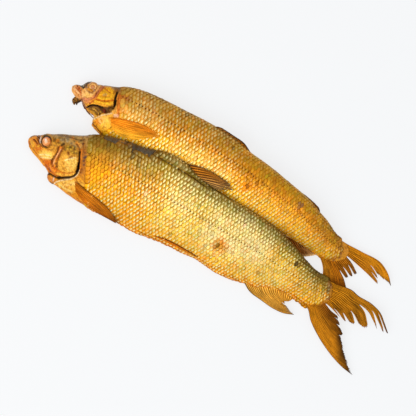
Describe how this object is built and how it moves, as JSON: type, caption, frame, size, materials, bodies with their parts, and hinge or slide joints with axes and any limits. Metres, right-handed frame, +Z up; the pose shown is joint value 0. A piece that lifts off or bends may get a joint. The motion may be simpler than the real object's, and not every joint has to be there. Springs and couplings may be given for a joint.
{
  "type": "cold smoked whitefish",
  "caption": "Pair of whole cold smoked whitefish lying side by side on their flanks, with scales, fins and forked tails, as food on a table or counter.",
  "frame": {"origin": "centre of the pair's footprint, on the surface that they lie on", "axes": "+X from the snouts to the tails, +Y from the bellies to the backs, +Z up out of the left flanks"},
  "size_m": [0.409, 0.149, 0.041],
  "materials": {
    "skin": "satin",
    "fin": "satin",
    "flesh": "satin",
    "eye": "gloss"
  },
  "bodies": {
    "root": {"front_fish": "skin", "back_fish": "skin"}
  },
  "joints": []
}
